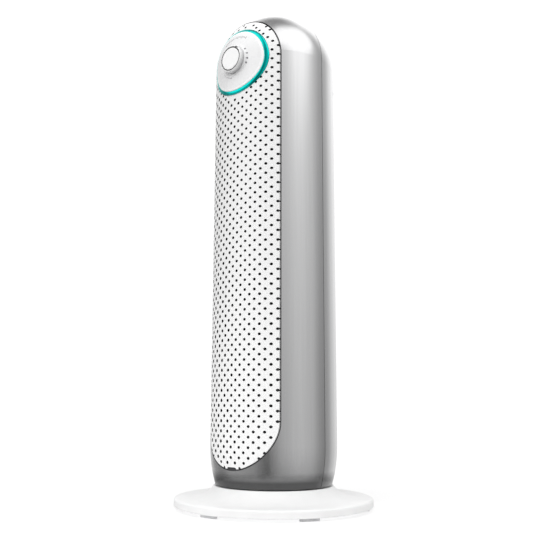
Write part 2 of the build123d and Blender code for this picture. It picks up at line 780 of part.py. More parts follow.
with BuildPart() as stabiliser_wall:
    with BuildSketch(Plane.XY.offset(duct_low_z)) as stabiliser_section:
        with BuildLine() as stabiliser_line:
            ThreePointArc((45, bay_back_y + 2), (38, fan_y - 6), (37, 40))
            Line((37, 40), (37, wall_end_y))
        trace(line_width=plate)
    extrude(amount=duct_high_z - duct_low_z)
save(stabiliser_wall, "stabiliser_wall")

# ---------------------------------------------------------------- mains inlet and power board
inlet_depth = 20.0
inlet_face_y = 77.4
power_board_y = -24.0

with BuildPart() as power_inlet:
    with BuildSketch(FRONT.offset(-inlet_face_y)) as inlet_body:
        with Locations((0, socket_z)):
            RectangleRounded(socket_width - 0.6, socket_height - 0.6, 2.7)
    extrude(amount=inlet_depth)
    # figure-eight socket
    with BuildSketch(FRONT.offset(-inlet_face_y)) as figure_eight:
        with Locations((0, socket_z)):
            SlotOverall(16.0, 8.6)
    extrude(amount=inlet_depth - 3, mode=Mode.SUBTRACT)
save(power_inlet, "power_inlet")

with BuildPart() as inlet_pins:
    with BuildSketch(FRONT.offset(-inlet_face_y + inlet_depth - 3)) as pins:
        with Locations((-4.1, socket_z), (4.1, socket_z)):
            Circle(1.2)
    extrude(amount=-13.0)
save(inlet_pins, "inlet_pins")

with BuildPart() as power_board:
    with BuildSketch(FRONT.offset(-power_board_y)) as power_outline:
        with Locations((0, 76)):
            RectangleRounded(92, 50, 3)
    extrude(amount=board_thickness)
save(power_board, "power_board")

with BuildPart() as board_components:
    with BuildSketch(FRONT.offset(-power_board_y + board_thickness)) as big_parts:
        with Locations((-26, 82)):
            Rectangle(24, 26)
        with Locations((22, 66)):
            Rectangle(14, 16)
    extrude(amount=16)
    with BuildSketch(FRONT.offset(-power_board_y + board_thickness)) as round_parts:
        with Locations((4, 84), (24, 90)):
            Circle(6)
    extrude(amount=18)
save(board_components, "board_components")

# ---------------------------------------------------------------- floor of the tower and the foot
floor_low_z = tower_foot_z + 1.2
base_screw_ring = 50.0
base_screw_count = 6
floor_radius = outline_radius(wall + 0.15, floor_low_z)

with BuildPart() as bottom_plate:
    with BuildSketch(Plane.XY.offset(floor_low_z)) as floor_outline:
        Circle(floor_radius)
    extrude(amount=4)
    with BuildSketch(Plane.XY.offset(hub_top_z)) as floor_boss:
        Circle(floor_radius - 3)
    extrude(amount=floor_low_z - hub_top_z)
    with BuildSketch(Plane.XY.offset(floor_low_z + 4)) as stand_posts:
        with Locations((-38, -25.6), (38, -25.6)):
            Rectangle(8, 3.0)
    extrude(amount=17.2)
    with BuildSketch(Plane.XY.offset(hub_top_z - 1)) as floor_bores:
        with PolarLocations(base_screw_ring, base_screw_count, start_angle=30):
            Circle(2.0)
    extrude(amount=12, mode=Mode.SUBTRACT)
save(bottom_plate, "bottom_plate")

flare_width = flare_end_radius - hub_radius
flare_rise = hub_top_z - foot_top_z
flare_radius = (flare_width ** 2 + flare_rise ** 2) / (2 * flare_rise)
flare_half_angle = atan2(flare_width, flare_radius - flare_rise) / 2
flare_middle = (
    flare_end_radius - flare_radius * sin(flare_half_angle),
    foot_top_z + flare_radius * (1 - cos(flare_half_angle)),
)
foot_wall = 2.6
rim_round = 2.6

with BuildPart() as base_disc:
    with BuildSketch(Plane.XZ) as foot_section:
        with BuildLine():
            Line((0, hub_top_z), (hub_radius, hub_top_z))
            ThreePointArc((hub_radius, hub_top_z), flare_middle, (flare_end_radius, foot_top_z))
            Line((flare_end_radius, foot_top_z), (foot_radius - rim_round, foot_top_z))
            JernArc((foot_radius - rim_round, foot_top_z), (1, 0), rim_round, -90)
            Polyline(
                (foot_radius, foot_top_z - rim_round), (foot_radius, foot_underside_z + 0.8),
                (foot_radius - 0.8, foot_underside_z), (0, foot_underside_z), (0, hub_top_z),
            )
        make_face()
    revolve(axis=Axis.Z, revolution_arc=360)
    # hollow underneath
    with BuildSketch(Plane.XZ) as hollow_section:
        add(foot_section.sketch)
        offset(amount=-foot_wall, kind=Kind.INTERSECTION)
        with Locations((foot_wall, foot_underside_z)):
            Rectangle(foot_radius - 2 * foot_wall, foot_wall + 1, align=(Align.MIN, Align.MIN))
    revolve(axis=Axis.Z, revolution_arc=360, mode=Mode.SUBTRACT)
    with BuildSketch(Plane.XY.offset(hub_top_z)) as hub_holes:
        with PolarLocations(base_screw_ring, base_screw_count, start_angle=30):
            Circle(2.0)
    extrude(amount=-foot_wall - 1, mode=Mode.SUBTRACT)
save(base_disc, "base_disc")

with BuildPart() as base_cover:
    with BuildSketch(Plane.XY.offset(foot_underside_z)) as cover_outline:
        Circle(foot_radius - foot_wall - 0.2)
        Circle(foot_wall + 0.2, mode=Mode.SUBTRACT)
    extrude(amount=2.0)
save(base_cover, "base_cover")

with BuildPart() as rubber_feet:
    with BuildSketch(Plane.XY) as foot_pads:
        with PolarLocations(115, 6, start_angle=-90):
            SlotOverall(24, 8.5, rotation=90)
    extrude(amount=foot_underside_z)
save(rubber_feet, "rubber_feet")

with BuildPart() as base_screws:
    with BuildSketch(Plane.XY.offset(hub_top_z - foot_wall)) as base_shanks:
        with PolarLocations(base_screw_ring, base_screw_count, start_angle=30):
            Circle(1.95)
    extrude(amount=8)
    with BuildSketch(Plane.XY.offset(hub_top_z - foot_wall)) as base_heads:
        with PolarLocations(base_screw_ring, base_screw_count, start_angle=30):
            Circle(3.8)
    extrude(amount=-2.2)
save(base_screws, "base_screws")
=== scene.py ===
"""Looks of the tower air purifier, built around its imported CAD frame."""

import json
from math import atan2, cos, pi, radians, sin, sqrt

import bmesh
import bpy
from mathutils import Matrix, Vector


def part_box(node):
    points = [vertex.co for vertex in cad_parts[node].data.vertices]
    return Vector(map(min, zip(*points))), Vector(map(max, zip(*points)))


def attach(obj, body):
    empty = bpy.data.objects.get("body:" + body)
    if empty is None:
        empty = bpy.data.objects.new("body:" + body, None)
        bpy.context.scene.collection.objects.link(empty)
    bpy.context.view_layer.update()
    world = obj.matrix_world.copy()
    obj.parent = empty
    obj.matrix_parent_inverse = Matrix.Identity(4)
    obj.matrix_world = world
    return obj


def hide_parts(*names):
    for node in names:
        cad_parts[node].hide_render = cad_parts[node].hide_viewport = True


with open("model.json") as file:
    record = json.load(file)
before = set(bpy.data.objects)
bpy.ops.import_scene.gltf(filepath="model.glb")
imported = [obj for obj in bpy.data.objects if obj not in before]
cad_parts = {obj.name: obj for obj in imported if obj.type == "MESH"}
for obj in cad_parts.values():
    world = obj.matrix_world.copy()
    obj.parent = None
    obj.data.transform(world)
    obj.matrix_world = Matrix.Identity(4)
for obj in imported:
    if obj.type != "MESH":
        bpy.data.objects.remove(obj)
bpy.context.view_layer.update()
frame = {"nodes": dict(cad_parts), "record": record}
MM = 0.001
collection = bpy.context.scene.collection

# ---------------------------------------------------------------- sizes taken from the frame, and some given here
tower_low, tower_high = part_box("front_shell")
tower_radius = (tower_high.x - tower_low.x) / 2
dome_z = tower_high.z - tower_radius
ring_low, ring_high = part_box("dial_ring")
dial_z = (ring_low.z + ring_high.z) / 2
ring_radius = (ring_high.x - ring_low.x) / 2
face_low, face_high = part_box("dial_face")
face_radius = (face_high.x - face_low.x) / 2
knob_low, knob_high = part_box("control_knob")
knob_radius = (knob_high.x - knob_low.x) / 2
tuck_z = 76 * MM              # the tower curves inwards below this height
tuck_radius = 168 * MM
hole_step = 6.04 * MM         # between columns of holes; twice this between the rows of one column
hole_row_z = 499.5 * MM       # height of one hole in the middle column
hole_radius = 1.7 * MM
foot_low, foot_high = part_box("base_disc")
foot_radius = (foot_high.x - foot_low.x) / 2


# ---------------------------------------------------------------- camera, floor and lights
def make_camera():
    """Low three-quarter view from the viewer's right of the front, tilted up."""
    camera_data = bpy.data.cameras.new("view_camera")
    camera_data.lens = 51.09
    camera_data.sensor_width = 36.0
    camera = bpy.data.objects.new("view_camera", camera_data)
    collection.objects.link(camera)
    place, aim = (0.6267, -0.7557, 0.1324), Vector((-0.6365, 0.7516, 0.1731))
    turn = aim.to_track_quat("-Z", "Y").to_matrix().to_4x4()
    roll = Matrix.Rotation(radians(0.2526), 4, "Z")
    camera.matrix_world = Matrix.Translation(place) @ turn @ roll
    bpy.context.scene.camera = camera


def soft_box(name, place, aim, size, power):
    """One rectangular soft box, placed and aimed by two points."""
    data = bpy.data.lights.new(name, "AREA")
    data.shape = "RECTANGLE"
    data.size, data.size_y = size
    data.energy = power
    light = bpy.data.objects.new(name, data)
    collection.objects.link(light)
    direction = Vector(aim) - Vector(place)
    light.matrix_world = Matrix.Translation(place) @ direction.to_track_quat("-Z", "Y").to_matrix().to_4x4()
    return light


def bearing_turn(degrees):
    """A compass bearing as a fraction of a full turn, 0 at -180 degrees."""
    return (degrees + 180) / 360


def make_fills():
    """Large soft fills that light the white parts without showing in the silver."""
    fills = [
        ("front_fill", (0.2, -1.1, 1.3), (0, 0, 0.5), (1.2, 1.2), 6.6),
        ("top_fill", (0.9, -0.3, 1.6), (0, 0, 0), (1.2, 1.2), 4.8),
    ]
    for name, place, aim, size, power in fills:
        soft_box(name, place, aim, size, power).visible_glossy = False


def nearness(nodes, links, direction, bearing, height, outside, inside):
    """1 within an angle of one direction of the sky, falling to 0 at a wider angle, in degrees."""
    turn, rise = radians(bearing), radians(height)
    along = nodes.new("ShaderNodeVectorMath")
    along.operation = "DOT_PRODUCT"
    along.inputs[1].default_value = (sin(turn) * cos(rise), -cos(turn) * cos(rise), sin(rise))
    links.new(direction.outputs["Generated"], along.inputs[0])
    fade = nodes.new("ShaderNodeMapRange")
    fade.interpolation_type = "SMOOTHSTEP"
    fade.inputs["From Min"].default_value = cos(radians(outside))
    fade.inputs["From Max"].default_value = cos(radians(inside))
    links.new(along.outputs["Value"], fade.inputs["Value"])
    return fade.outputs["Result"]


def level_ramp(nodes, links, value, stops):
    """Grey levels along a value from 0 to 1, eased between the stops."""
    ramp = nodes.new("ShaderNodeValToRGB")
    ramp.color_ramp.interpolation = "EASE"
    elements = ramp.color_ramp.elements
    while len(elements) < len(stops):
        elements.new(0.5)
    for element, (position, level) in zip(elements, stops):
        element.position = position
        element.color = (level, level, level, 1)
    links.new(value, ramp.inputs["Fac"])
    return ramp.outputs["Color"]


def patched(nodes, links, base, mask, level):
    """The base colour, replaced by one grey level where the mask is 1."""
    mix = nodes.new("ShaderNodeMix")
    mix.data_type = "RGBA"
    mix.inputs["B"].default_value = (level, level, level, 1)
    links.new(mask, mix.inputs["Factor"])
    links.new(base, mix.inputs["A"])
    return mix.outputs["Result"]


# brightness of the room's walls by compass bearing in degrees
WALLS = [
    (-180, 0.76), (-170, 0.84), (-130, 0.84), (-92, 0.32), (-72, 0.22), (-45, 0.40), (0, 0.36),
    (28, 0.12), (42, 0.32), (56, 0.46), (86, 0.57), (112, 0.50), (130, 0.32), (143, 0.22),
    (157, 0.40), (172, 0.68),
]
# and by the sine of the height above the horizon
HEIGHTS = [
    (-1.0, 0.12), (-0.55, 0.12), (-0.42, 0.235), (-0.26, 0.305), (-0.10, 0.33), (0.0, 0.35),
    (0.22, 0.41), (0.47, 0.52), (0.60, 0.58), (0.84, 0.64), (1.0, 0.64),
]
BOX_LEVEL = 0.47
CEILING_LEVEL = 0.09
ROOM_STRENGTH = 2.85
BACKDROP_STRENGTH = 1.05


def make_room():
    """Studio room: bright in front and behind, darker at the sides and towards the ground."""
    world = bpy.data.worlds.new("studio_room")
    bpy.context.scene.world = world
    world.use_nodes = True
    nodes, links = world.node_tree.nodes, world.node_tree.links
    nodes.clear()
    output = nodes.new("ShaderNodeOutputWorld")
    direction = nodes.new("ShaderNodeTexCoord")
    split = nodes.new("ShaderNodeSeparateXYZ")
    links.new(direction.outputs["Generated"], split.inputs[0])
    # compass bearing of the direction, 0 at -Y and growing towards +X, as turns from 0 to 1
    minus_y = nodes.new("ShaderNodeMath")
    minus_y.operation = "MULTIPLY"
    minus_y.inputs[1].default_value = -1
    links.new(split.outputs["Y"], minus_y.inputs[0])
    bearing = nodes.new("ShaderNodeMath")
    bearing.operation = "ARCTAN2"
    links.new(split.outputs["X"], bearing.inputs[0])
    links.new(minus_y.outputs[0], bearing.inputs[1])
    turns = nodes.new("ShaderNodeMapRange")
    turns.inputs["From Min"].default_value = -pi
    turns.inputs["From Max"].default_value = pi
    links.new(bearing.outputs[0], turns.inputs["Value"])
    walls = level_ramp(nodes, links, turns.outputs[0], [(bearing_turn(at), level) for at, level in WALLS])
    half = nodes.new("ShaderNodeMapRange")
    half.inputs["From Min"].default_value = -1
    links.new(split.outputs["Z"], half.inputs["Value"])
    height = level_ramp(nodes, links, half.outputs[0], [((rise + 1) / 2, level) for rise, level in HEIGHTS])
    room = nodes.new("ShaderNodeMix")
    room.data_type = "RGBA"
    room.blend_type = "MULTIPLY"
    room.inputs["Factor"].default_value = 1
    links.new(walls, room.inputs["A"])
    links.new(height, room.inputs["B"])
    # a large round soft box high on the right, and a softer one in front, above eye level
    side_box = nearness(nodes, links, direction, bearing=90, height=52, outside=32, inside=26)
    front_box = nearness(nodes, links, direction, bearing=-22, height=38, outside=44, inside=27)
    boxed = patched(nodes, links, room.outputs["Result"], side_box, BOX_LEVEL)
    boxed = patched(nodes, links, boxed, front_box, BOX_LEVEL)
    # an unlit patch of ceiling above and behind the tower
    falloff = nodes.new("ShaderNodeMath")
    falloff.operation = "POWER"
    falloff.inputs[1].default_value = 1.5
    ceiling = nearness(nodes, links, direction, bearing=225, height=82, outside=29, inside=0)
    links.new(ceiling, falloff.inputs[0])
    lit = nodes.new("ShaderNodeBackground")
    lit.inputs["Strength"].default_value = ROOM_STRENGTH
    links.new(patched(nodes, links, boxed, falloff.outputs[0], CEILING_LEVEL), lit.inputs["Color"])
    # the backdrop itself is plain white
    backdrop = nodes.new("ShaderNodeBackground")
    backdrop.inputs["Color"].default_value = (1, 1, 1, 1)
    backdrop.inputs["Strength"].default_value = BACKDROP_STRENGTH
    path = nodes.new("ShaderNodeLightPath")
    choice = nodes.new("ShaderNodeMixShader")
    links.new(path.outputs["Is Camera Ray"], choice.inputs["Fac"])
    links.new(lit.outputs[0], choice.inputs[1])
    links.new(backdrop.outputs[0], choice.inputs[2])
    links.new(choice.outputs[0], output.inputs["Surface"])


def make_floor():
    """Plain pale round floor."""
    floor_radius = 0.62
    shape = bmesh.new()
    bmesh.ops.create_circle(shape, cap_ends=True, segments=96, radius=floor_radius)
    mesh = bpy.data.meshes.new("floor")
    shape.to_mesh(mesh)
    shape.free()
    floor = bpy.data.objects.new("floor", mesh)
    collection.objects.link(floor)
    kit = Finish("floor_paint", (0.62, 0.62, 0.62), roughness=0.7)
    kit.shader.inputs["Emission Color"].default_value = (1, 1, 1, 1)
    # the floor glows faintly, and more under the foot, so that no dark gap shows there
    reach = kit.nodes.new("ShaderNodeVectorMath")
    reach.operation = "LENGTH"
    kit.links.new(kit.place, reach.inputs[0])
    glow = kit.spread(reach.outputs["Value"], 0.75, 0.34, 0.93 * foot_radius, 1.02 * foot_radius)
    kit.links.new(glow, kit.shader.inputs["Emission Strength"])
    mesh.materials.append(kit.material)
    floor.visible_glossy = False


# ---------------------------------------------------------------- finishes
class Finish:
    """A procedural material on object coordinates, with short calls for its layers."""

    def __init__(self, name, colour, roughness, metallic=0.0, **sockets):
        self.material = bpy.data.materials.new(name)
        self.material.use_nodes = True
        self.nodes = self.material.node_tree.nodes
        self.links = self.material.node_tree.links
        self.shader = self.nodes["Principled BSDF"]
        self.shader.inputs["Base Color"].default_value = (*colour, 1)
        self.shader.inputs["Roughness"].default_value = roughness
        self.shader.inputs["Metallic"].default_value = metallic
        for socket, value in sockets.items():
            self.shader.inputs[socket.replace("_", " ")].default_value = value
        self.place = self.nodes.new("ShaderNodeTexCoord").outputs["Object"]
        self.bump_under = None

    def axes(self):
        """X, Y and Z of the point."""
        split = self.nodes.new("ShaderNodeSeparateXYZ")
        self.links.new(self.place, split.inputs[0])
        return split.outputs["X"], split.outputs["Y"], split.outputs["Z"]

    def stretched(self, scale):
        """Object coordinates with its own scale along each axis, in cycles a metre."""
        mapping = self.nodes.new("ShaderNodeMapping")
        mapping.inputs["Scale"].default_value = scale
        self.links.new(self.place, mapping.inputs["Vector"])
        return mapping.outputs["Vector"]

    def noise(self, scale, detail=3.0, rough=0.55):
        """Cloudy noise; scale is one number or one for each axis, in cycles a metre."""
        scale = scale if hasattr(scale, "__len__") else (scale, scale, scale)
        texture = self.nodes.new("ShaderNodeTexNoise")
        texture.inputs["Scale"].default_value = 1.0
        texture.inputs["Detail"].default_value = detail
        texture.inputs["Roughness"].default_value = rough
        self.links.new(self.stretched(scale), texture.inputs["Vector"])
        return texture.outputs["Fac"]

    def cells(self, scale, feature="F1"):
        texture = self.nodes.new("ShaderNodeTexVoronoi")
        texture.feature = feature
        texture.inputs["Scale"].default_value = 1.0
        self.links.new(self.stretched((scale, scale, scale)), texture.inputs["Vector"])
        return texture.outputs["Distance"]

    def waves(self, scale, axis):
        texture = self.nodes.new("ShaderNodeTexWave")
        texture.bands_direction = axis
        texture.inputs["Scale"].default_value = scale
        self.links.new(self.place, texture.inputs["Vector"])
        return texture.outputs["Fac"]

    def figure(self, operation, *values):
        """One sum on sockets or plain numbers."""
        node = self.nodes.new("ShaderNodeMath")
        node.operation = operation
        for socket, value in zip(node.inputs, values):
            if isinstance(value, (int, float)):
                socket.default_value = value
            else:
                self.links.new(value, socket)
        return node.outputs[0]

    def hypotenuse(self, first, second):
        squares = [self.figure("MULTIPLY", side, side) for side in (first, second)]
        return self.figure("SQRT", self.figure("ADD", *squares))

    def spread(self, value, low, high, from_low=0.0, from_high=1.0):
        """A value from one range brought to another."""
        ranged = self.nodes.new("ShaderNodeMapRange")
        ranged.inputs["From Min"].default_value = from_low
        ranged.inputs["From Max"].default_value = from_high
        ranged.inputs["To Min"].default_value = low
        ranged.inputs["To Max"].default_value = high
        self.links.new(value, ranged.inputs["Value"])
        return ranged.outputs["Result"]

    def tint(self, value, dark, light, low=0.3, high=0.7):
        """Base colour runs from dark to light with the value."""
        ramp = self.nodes.new("ShaderNodeValToRGB")
        ramp.color_ramp.elements[0].position = low
        ramp.color_ramp.elements[0].color = (*dark, 1)
        ramp.color_ramp.elements[1].position = high
        ramp.color_ramp.elements[1].color = (*light, 1)
        self.links.new(value, ramp.inputs["Fac"])
        self.links.new(ramp.outputs["Color"], self.shader.inputs["Base Color"])
        return ramp.outputs["Color"]

    def gloss(self, value, low, high):
        """Roughness runs from low to high with the value."""
        self.links.new(self.spread(value, low, high, 0.3, 0.7), self.shader.inputs["Roughness"])

    def relief(self, value, depth_mm, strength):
        """Bump of a depth in millimetres, on top of any relief given before."""
        bump = self.nodes.new("ShaderNodeBump")
        bump.inputs["Strength"].default_value = strength
        bump.inputs["Distance"].default_value = depth_mm * MM
        self.links.new(value, bump.inputs["Height"])
        if self.bump_under is not None:
            self.links.new(self.bump_under, bump.inputs["Normal"])
        self.links.new(bump.outputs["Normal"], self.shader.inputs["Normal"])
        self.bump_under = bump.outputs["Normal"]


def scaled(colour, factor):
    return tuple(min(1.0, channel * factor) for channel in colour)


def brushed_silver():
    """Satin silver skin with a barely visible brush along the tower, and painted shade at its foot."""
    colour = (0.80, 0.80, 0.805)
    kit = Finish("brushed_silver", colour, roughness=0.24, metallic=1.0)
    fine = kit.noise((900, 900, 7), detail=3)
    skin = kit.tint(fine, scaled(colour, 0.975), scaled(colour, 1.015), 0.35, 0.65)
    # painted shade: the skin's colour darkens where it tucks in above the foot, less so towards the back
    _, y, z = kit.axes()
    tuck = kit.nodes.new("ShaderNodeMapRange")
    tuck.interpolation_type = "SMOOTHSTEP"
    tuck.inputs["From Min"].default_value = 35 * MM
    tuck.inputs["From Max"].default_value = 49 * MM
    kit.links.new(z, tuck.inputs["Value"])
    kit.links.new(kit.spread(y, 0.13, 0.5, -10 * MM, 40 * MM), tuck.inputs["To Min"])
    # the brushed colour is multiplied by the painted shade at the foot
    shade = kit.nodes.new("ShaderNodeMix")
    shade.data_type = "RGBA"
    shade.blend_type = "MULTIPLY"
    shade.inputs["Factor"].default_value = 1
    kit.links.new(skin, shade.inputs["A"])
    kit.links.new(tuck.outputs["Result"], shade.inputs["B"])
    kit.links.new(shade.outputs["Result"], kit.shader.inputs["Base Color"])
    kit.gloss(kit.noise((300, 300, 5), detail=2), 0.215, 0.255)
    kit.relief(fine, 0.004, 0.2)
    return kit.material


def moulded(name, colour, roughness, grain_mm=0.03, **sockets):
    """Moulded plastic: a fine spark-eroded grain and slightly uneven colour and gloss."""
    kit = Finish(name, colour, roughness=roughness, **sockets)
    cloud = kit.noise(28, detail=2)
    kit.tint(cloud, scaled(colour, 0.965), scaled(colour, 1.02))
    kit.gloss(kit.noise(60, detail=3), max(0.03, roughness * 0.86), min(1.0, roughness * 1.12))
    kit.relief(kit.noise(900, detail=2), grain_mm, 0.5)
    return kit.material


def glossy(name, colour, roughness):
    """Glossy moulding: faint waviness in a clean, hard surface."""
    kit = Finish(name, colour, roughness=roughness, Coat_Weight=0.35, Coat_Roughness=0.05)
    kit.tint(kit.noise(14, detail=2), scaled(colour, 0.985), scaled(colour, 1.01))
    kit.gloss(kit.noise(90, detail=3), roughness * 0.8, roughness * 1.3)
    kit.relief(kit.noise(45, detail=1), 0.02, 0.25)
    return kit.material


def machined(name, colour, roughness, axis_scale=(40, 40, 1500)):
    """Turned or rolled metal with fine tool lines."""
    kit = Finish(name, colour, roughness=roughness, metallic=1.0)
    lines = kit.noise(axis_scale, detail=3)
    kit.tint(lines, scaled(colour, 0.85), scaled(colour, 1.08))
    kit.gloss(kit.noise(120, detail=3), roughness * 0.75, roughness * 1.3)
    kit.relief(lines, 0.02, 0.4)
    return kit.material


def rubbery(name, colour):
    kit = Finish(name, colour, roughness=0.82)
    kit.tint(kit.noise(70, detail=4), scaled(colour, 0.85), scaled(colour, 1.15))
    kit.gloss(kit.noise(200, detail=3), 0.72, 0.92)
    kit.relief(kit.noise(1400, detail=2), 0.06, 0.6)
    return kit.material


def circuit():
    """Green lacquer over copper tracks."""
    kit = Finish("circuit", (0.02, 0.16, 0.07), roughness=0.3)
    tracks = kit.cells(420, "DISTANCE_TO_EDGE")
    kit.tint(tracks, (0.05, 0.30, 0.12), (0.012, 0.12, 0.05), 0.05, 0.12)
    kit.gloss(kit.noise(80), 0.24, 0.38)
    kit.relief(tracks, 0.05, 0.3)
    return kit.material


def components():
    kit = Finish("components", (0.05, 0.05, 0.055), roughness=0.45)
    kit.tint(kit.noise(160), (0.03, 0.03, 0.035), (0.08, 0.08, 0.085))
    kit.gloss(kit.noise(300), 0.35, 0.55)
    kit.relief(kit.noise(1200), 0.03, 0.4)
    return kit.material


def filter_paper():
    """Pleated glass-fibre paper."""
    colour = (0.88, 0.87, 0.82)
    kit = Finish("filter_paper", colour, roughness=0.92, Sheen_Weight=0.3)
    fibres = kit.noise((900, 900, 260), detail=5, rough=0.7)
    kit.tint(fibres, scaled(colour, 0.86), scaled(colour, 1.05))
    kit.gloss(fibres, 0.86, 0.97)
    kit.relief(fibres, 0.15, 0.7)
    return kit.material


def carbon_mesh():
    """Black granules held in a fine net."""
    kit = Finish("carbon_mesh", (0.012, 0.012, 0.013), roughness=0.85)
    grains = kit.cells(650)
    kit.tint(grains, (0.028, 0.028, 0.030), (0.004, 0.004, 0.004), 0.1, 0.6)
    kit.gloss(kit.noise(700), 0.6, 0.95)
    kit.relief(grains, 0.5, 0.8)
    return kit.material


def foam():
    kit = Finish("foam", (0.05, 0.05, 0.052), roughness=0.95)
    pores = kit.cells(1500)
    kit.tint(pores, (0.02, 0.02, 0.02), (0.08, 0.08, 0.085), 0.1, 0.5)
    kit.gloss(pores, 0.88, 1.0)
    kit.relief(pores, 0.3, 0.8)
    return kit.material


def weave(kit, threads, operation):
    """Two crossed sets of threads, in cycles a metre."""
    return kit.figure(operation, kit.waves(threads, "X"), kit.waves(threads, "Z"))


def woven_tape():
    """Narrow woven ribbon."""
    kit = Finish("woven_tape", (0.05, 0.18, 0.42), roughness=0.8, Sheen_Weight=0.4)
    threads = weave(kit, 900, "MULTIPLY")
    kit.tint(threads, (0.03, 0.11, 0.28), (0.07, 0.24, 0.50), 0.1, 0.8)
    kit.gloss(kit.noise(400), 0.72, 0.9)
    kit.relief(threads, 0.12, 0.7)
    return kit.material


def printed(name, colour):
    """Pad-printed ink."""
    kit = Finish(name, colour, roughness=0.5)
    kit.tint(kit.noise(500), scaled(colour, 0.8), scaled(colour, 1.2))
    kit.gloss(kit.noise(300), 0.42, 0.6)
    kit.relief(kit.noise(1500), 0.01, 0.3)
    return kit.material


def teal_gloss():
    """Polished metallic teal trim."""
    colour = (0.0, 0.66, 0.61)
    kit = Finish("teal_gloss", colour, roughness=0.2, metallic=1.0, Coat_Weight=0.15, Coat_Roughness=0.05)
    kit.tint(kit.noise(30, detail=2), (0.0, 0.62, 0.57), (0.0, 0.70, 0.65))
    kit.gloss(kit.noise(120), 0.14, 0.2)
    kit.relief(kit.noise(60, detail=1), 0.02, 0.2)
    return kit.material


def dial_white():
    """Satin white face, with a painted highlight: a brighter band round its rim."""
    face, painted_highlight_white = (0.86, 0.86, 0.865), (0.97, 0.97, 0.97)
    kit = Finish("dial_white", face, roughness=0.3)
    x, _, z = kit.axes()
    # painted highlight: the colour brightens over the outermost band of the face
    reach = kit.hypotenuse(x, kit.figure("SUBTRACT", z, dial_z))
    edge = kit.spread(reach, 0, 1, face_radius - 4.6 * MM, face_radius - 3.4 * MM)
    kit.tint(edge, face, painted_highlight_white, 0.0, 1.0)
    kit.gloss(kit.noise(90, detail=3), 0.24, 0.34)
    kit.relief(kit.noise(45, detail=1), 0.02, 0.25)
    return kit.material


def outward_reach(kit, x, y, z):
    """Distance from the tower's axis or dome centre, evened out where the tower tucks in."""
    arm = kit.nodes.new("ShaderNodeCombineXYZ")
    kit.links.new(x, arm.inputs["X"])
    kit.links.new(y, arm.inputs["Y"])
    kit.links.new(kit.figure("MAXIMUM", kit.figure("SUBTRACT", z, dome_z), 0), arm.inputs["Z"])
    reach = kit.nodes.new("ShaderNodeVectorMath")
    reach.operation = "LENGTH"
    kit.links.new(arm.outputs[0], reach.inputs[0])
    drop = kit.figure("MAXIMUM", kit.figure("SUBTRACT", tuck_z, z), 0)
    tuck = kit.figure("MULTIPLY", kit.figure("MULTIPLY", drop, drop), 0.5 / tuck_radius)
    return kit.figure("ADD", reach.outputs["Value"], tuck)


def hole_distance(kit, x, z):
    """Distance, seen from the front, to the nearest hole of the diamond lattice."""
    across = kit.figure("PINGPONG", x, hole_step)
    along = kit.figure("PINGPONG", kit.figure("SUBTRACT", z, hole_row_z), hole_step)
    other_across = kit.figure("SUBTRACT", hole_step, across)
    other_along = kit.figure("SUBTRACT", hole_step, along)
    return kit.figure("MINIMUM", kit.hypotenuse(across, along), kit.hypotenuse(other_across, other_along))


def drilled_panel():
    """Satin white panel, with painted shade in the holes: below the outer face the drilled walls are
    coloured near-black.
    """
    colour, hole_shade_colour = (0.90, 0.90, 0.90), (0.015, 0.015, 0.016)
    kit = Finish("drilled_panel", colour, roughness=0.42)
    kit.relief(kit.noise(900, detail=2), 0.01, 0.3)
    kit.gloss(kit.noise(60), 0.36, 0.48)
    x, y, z = kit.axes()
    panel_low, panel_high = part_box("front_grille")
    crest = -panel_low.y
    face = kit.spread(outward_reach(kit, x, y, z), 0, 1, crest - 0.5 * MM, crest - 0.3 * MM)
    # the panel's own outer edge is kept paler than the painted shade of the drilled walls
    half_width = (panel_high.x - panel_low.x) / 2
    lowest, highest = panel_low.z + half_width, panel_high.z - half_width
    nearest = kit.figure("MINIMUM", kit.figure("MAXIMUM", z, lowest), highest)
    from_middle = kit.hypotenuse(x, kit.figure("SUBTRACT", z, nearest))
    edge = kit.spread(from_middle, 0, 0.6, half_width - 0.3 * MM, half_width - 0.1 * MM)
    # painted shade: a dark rim round each hole, wider towards the left, so the holes read larger and darker
    # there
    hole_shade_rim = kit.spread(x, 0.6 * MM, 0, -45 * MM, 15 * MM)
    to_paint = kit.figure("SUBTRACT", hole_distance(kit, x, z), hole_shade_rim)
    painted = kit.spread(to_paint, 0, 1, hole_radius - 0.1 * MM, hole_radius + 0.1 * MM)
    # only holes well inside the outline and clear of the dial get the painted rim
    from_dial = kit.hypotenuse(x, kit.figure("SUBTRACT", z, dial_z))
    near_dial = kit.spread(from_dial, 1, 0, ring_radius + 4 * MM, ring_radius + 4.3 * MM)
    near_edge = kit.spread(from_middle, 0, 1, half_width - 4.3 * MM, half_width - 4 * MM)
    painted = kit.figure("MAXIMUM", painted, kit.figure("MAXIMUM", near_dial, near_edge))
    paint = kit.figure("MAXIMUM", kit.figure("MINIMUM", face, painted), edge)
    kit.tint(paint, hole_shade_colour, colour, 0.0, 1.0)
    return kit.material


def fine_net():
    """Black net with a fine square weave."""
    kit = Finish("fine_net", (0.006, 0.006, 0.006), roughness=0.8)
    threads = weave(kit, 700, "MAXIMUM")
    kit.tint(threads, (0.002, 0.002, 0.002), (0.010, 0.010, 0.010), 0.4, 0.9)
    kit.gloss(threads, 0.7, 0.95)
    kit.relief(threads, 0.2, 0.8)
    return kit.material


